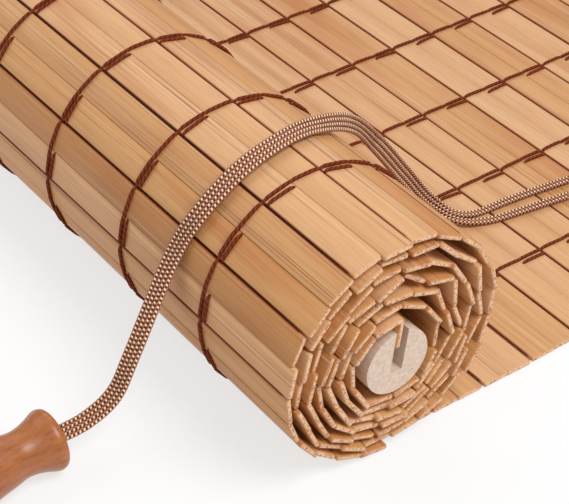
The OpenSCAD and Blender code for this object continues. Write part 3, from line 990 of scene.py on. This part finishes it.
# %% Profile of the pull
PULL_LEN = 46 * MM
NECK_R = 6.4 * MM
BORE_R = 3.6 * MM
WAIST = PULL_LEN * 0.22
CURVE_STEPS = 4
corners = [
    (FLANGE_R - 1.7 * MM, 0), (FLANGE_R - 0.5 * MM, 0.5 * MM), (FLANGE_R, 1.7 * MM),
    (FLANGE_R - 0.2 * MM, 3 * MM), (FLANGE_R - 1.1 * MM, 5.2 * MM),
    (NECK_R + 0.3 * MM, WAIST - 2.2 * MM), (NECK_R, WAIST), (NECK_R + 0.1 * MM, WAIST + 2 * MM),
    (NECK_R + 0.6 * MM, WAIST + 4.4 * MM),
    (FLANGE_R - 0.9 * MM, PULL_LEN * 0.41), (FLANGE_R - 0.2 * MM, PULL_LEN * 0.5),
    (FLANGE_R, PULL_LEN * 0.6), (FLANGE_R - 0.1 * MM, PULL_LEN * 0.74),
    (FLANGE_R - 0.7 * MM, PULL_LEN * 0.86), (FLANGE_R - 1.8 * MM, PULL_LEN * 0.95),
    (FLANGE_R - 3.4 * MM, PULL_LEN),
]
rounded = smooth([Vector((r, h, 0)) for r, h in corners], CURVE_STEPS)
profile = [(BORE_R, PULL_LEN), (BORE_R, 0.4 * MM), (BORE_R + 0.5 * MM, 0)]
profile += [(v.x, max(0, min(v.y, PULL_LEN))) for v in rounded]
print("points on the profile:", len(profile))

# %% Turn the pull
PULL_AT = Vector((WIDTH / 2 - 44.9 * MM, ROLL_Y - 73.5 * MM, FLANGE_R))
PULL_TURN = math.radians(182)
LATHE_STEPS = 56
bm = bmesh.new()
verts = [bm.verts.new((r, h, 0)) for r, h in profile]
for a, b in zip(verts, verts[1:] + verts[:1]):
    bm.edges.new((a, b))
bmesh.ops.spin(bm, geom=bm.verts[:] + bm.edges[:], cent=(0, 0, 0), axis=(0, 1, 0),
               angle=2 * math.pi, steps=LATHE_STEPS, use_merge=True, use_duplicate=False)
for f in bm.faces:
    f.smooth = True
laid_down = Matrix.Translation(PULL_AT) @ Matrix.Rotation(PULL_TURN, 4, "Z")
bmesh.ops.transform(bm, matrix=laid_down, verts=bm.verts[:])
open_edges = len([e for e in bm.edges if not e.is_manifold])
pull = to_object(bm, "turned_pull", pull_wood)
dress(pull, "pull")
print("pull faces:", len(pull.data.polygons), "open edges:", open_edges)

# %% [markdown]
# ## 19. The rod and the head rail
#
# The rod, the rail, the hangers and the guide are hard pieces whose CAD shapes are already exact. Making
# them again would only risk their fit. They keep their shapes and take the new materials.

# %% Looks of the CAD pieces
looks = {
    "bottom_rod": rod_wood, "rail_strip": rail_wood, "rail_batten": rail_wood, "batten_screws": brass,
    "left_hanger": steel, "right_hanger": steel, "hanger_screws": steel, "guide_bracket": steel,
    "guide_roller": plastic, "guide_pin": steel, "guide_screws": steel,
}
for name, material in looks.items():
    mesh = nodes[name].data
    mesh.materials.clear()
    mesh.materials.append(material)
print("CAD pieces with new looks:", len(looks))

# %% [markdown]
# ## 20. The floor
#
# The photograph has a plain white ground. More light would make any floor white, but it would bleach the
# bamboo too. So the floor is a pale grey that, for what the camera sees, is mixed with plain white. The
# object's shadow stays on it, only softer. Under the mat nothing is mixed in, so that the open joints
# stay dark from above, as they do on a real table.

# %% Look of the floor
WHITE_SHARE = 0.7
UNDER_X = WIDTH / 2 - 1.5 * MM
UNDER_Y = (ROLL_Y, BATTEN_W / 2 - 1 * MM)
floor_look, tree, bsdf = new_material("floor", 0.9, 0.1)
bsdf.inputs["Base Color"].default_value = (0.93, 0.93, 0.93, 1)
rays = tree.nodes.new("ShaderNodeLightPath")
seen = maths(tree, "MAXIMUM", rays.outputs["Is Camera Ray"], rays.outputs["Is Glossy Ray"])
seen = maths(tree, "MAXIMUM", seen, rays.outputs["Is Transmission Ray"])
plain_white = node(tree, "ShaderNodeEmission", Color=(*WHITE, 1), Strength=1.0)
where = tree.nodes.new("ShaderNodeTexCoord")
place = tree.nodes.new("ShaderNodeSeparateXYZ")
link(tree, where.outputs["Object"], place.inputs[0])
beside = maths(tree, "GREATER_THAN", maths(tree, "ABSOLUTE", place.outputs[0]), UNDER_X)
before = maths(tree, "LESS_THAN", place.outputs[1], UNDER_Y[0])
behind = maths(tree, "GREATER_THAN", place.outputs[1], UNDER_Y[1])
clear_of_mat = maths(tree, "MAXIMUM", beside, maths(tree, "MAXIMUM", before, behind))
share = maths(tree, "MULTIPLY", maths(tree, "MULTIPLY", seen, clear_of_mat), WHITE_SHARE)
blend = tree.nodes.new("ShaderNodeMixShader")
link(tree, share, blend.inputs[0])
link(tree, bsdf.outputs[0], blend.inputs[1])
link(tree, plain_white.outputs[0], blend.inputs[2])
link(tree, blend.outputs[0], tree.nodes["Material Output"].inputs["Surface"])
print("floor nodes:", len(tree.nodes))

# %% Floor
FLOOR_SIZE = 6
FLOOR_DROP = 0.2 * MM
bm = bmesh.new()
bmesh.ops.create_grid(bm, x_segments=1, y_segments=1, size=FLOOR_SIZE)
floor = to_object(bm, "floor", floor_look)
floor.location.z = -FLOOR_DROP
print("floor:", floor.name)

# %% [markdown]
# ## 21. The light
#
# One large soft light stands high over the blind's right side, so that the front of the roll is shaded.
# A wide weak one behind on the left gives the slats their sheen, and a faint one in front fills the
# shadows. A sun lamp would be simpler, but its shadows are too sharp for a studio.


# %% Lights and world
def area_light(name, place, target, size, power):
    data = bpy.data.lights.new(name, "AREA")
    data.shape = "DISK"
    data.size = size
    data.energy = power
    light = bpy.data.objects.new(name, data)
    scene.collection.objects.link(light)
    light.location = place
    light.rotation_mode = "QUATERNION"
    light.rotation_quaternion = (Vector(target) - Vector(place)).to_track_quat("-Z", "Y")


AMBIENT = 0.36
aim = (WIDTH / 2 - 0.08, ROLL_Y + 0.05, 0.02)
area_light("key", (0.95, 0.0, 1.37), aim, 0.9, 18)
area_light("sheen", (-1.03, 0.69, 1.2), aim, 1.6, 7)
area_light("fill", (-0.6, -1.0, 0.8), aim, 1.0, 3)
world = bpy.data.worlds.new("world")
scene.world = world
world.use_nodes = True
sky = world.node_tree.nodes["Background"]
sky.inputs["Color"].default_value = (*WHITE, 1)
sky.inputs["Strength"].default_value = AMBIENT
scene.view_settings.view_transform = "Standard"
